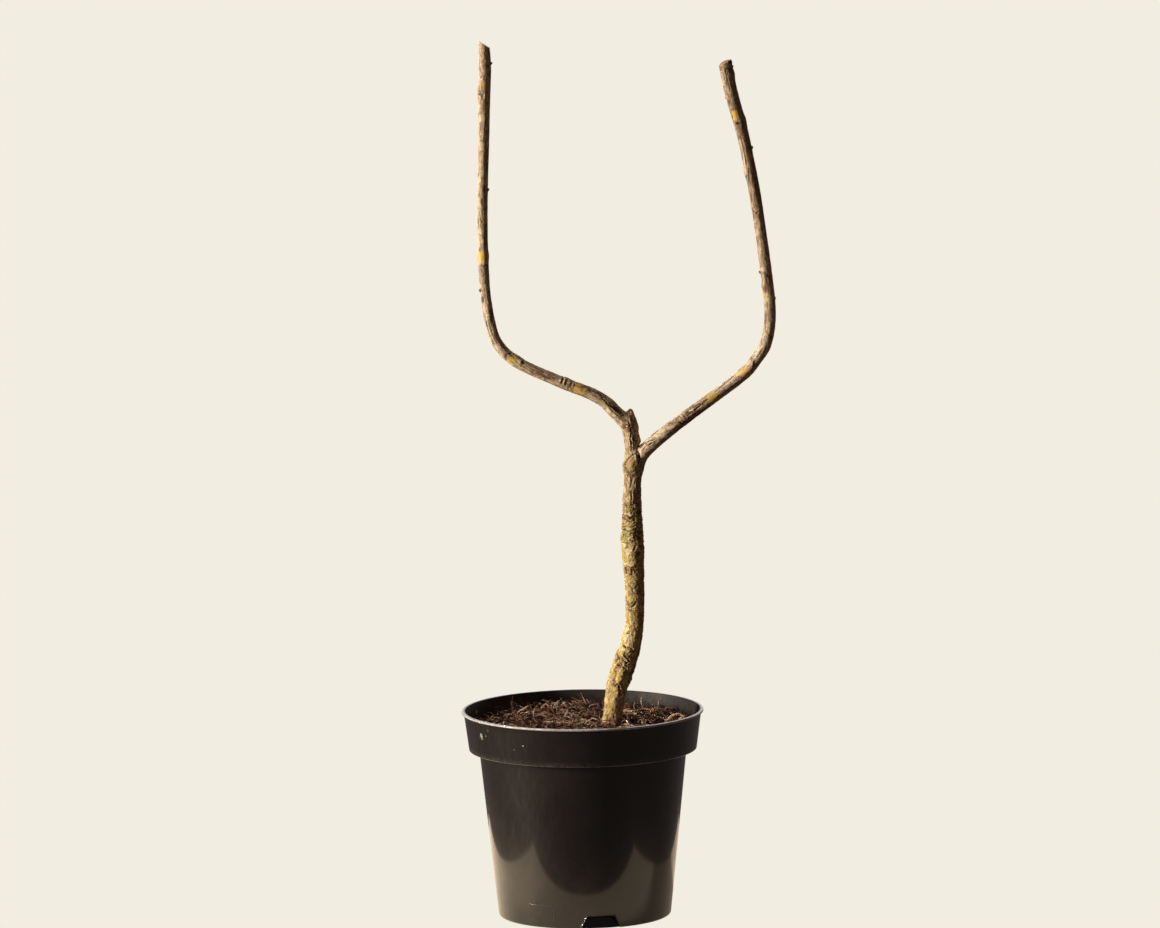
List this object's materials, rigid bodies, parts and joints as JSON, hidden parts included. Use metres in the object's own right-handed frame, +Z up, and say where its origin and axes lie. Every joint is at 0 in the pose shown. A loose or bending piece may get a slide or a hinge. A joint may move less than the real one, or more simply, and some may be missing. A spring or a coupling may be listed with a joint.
{
  "type": "espaliered plum tree in a nursery pot",
  "caption": "Bare young plum tree trained into a U on two boughs, its short trunk standing in potting soil in a round black plastic nursery pot.",
  "frame": {"origin": "centre of the pot's flat underside", "axes": "+Z up along the pot's axis, +X to the right across the flat fan of the tree, -Y towards the viewer in front of it"},
  "size_m": [0.3702, 0.28, 1.0158],
  "materials": {
    "pot_plastic": "satin",
    "soil": "matte",
    "trunk_bark": "matte",
    "bough_bark": "matte"
  },
  "bodies": {
    "root": {"pot": "pot_plastic", "potting_soil": "soil", "trunk": "trunk_bark", "left_bough_arm": "bough_bark", "left_bough_upright": "bough_bark", "right_bough_arm": "bough_bark", "right_bough_upright": "bough_bark"}
  },
  "joints": []
}
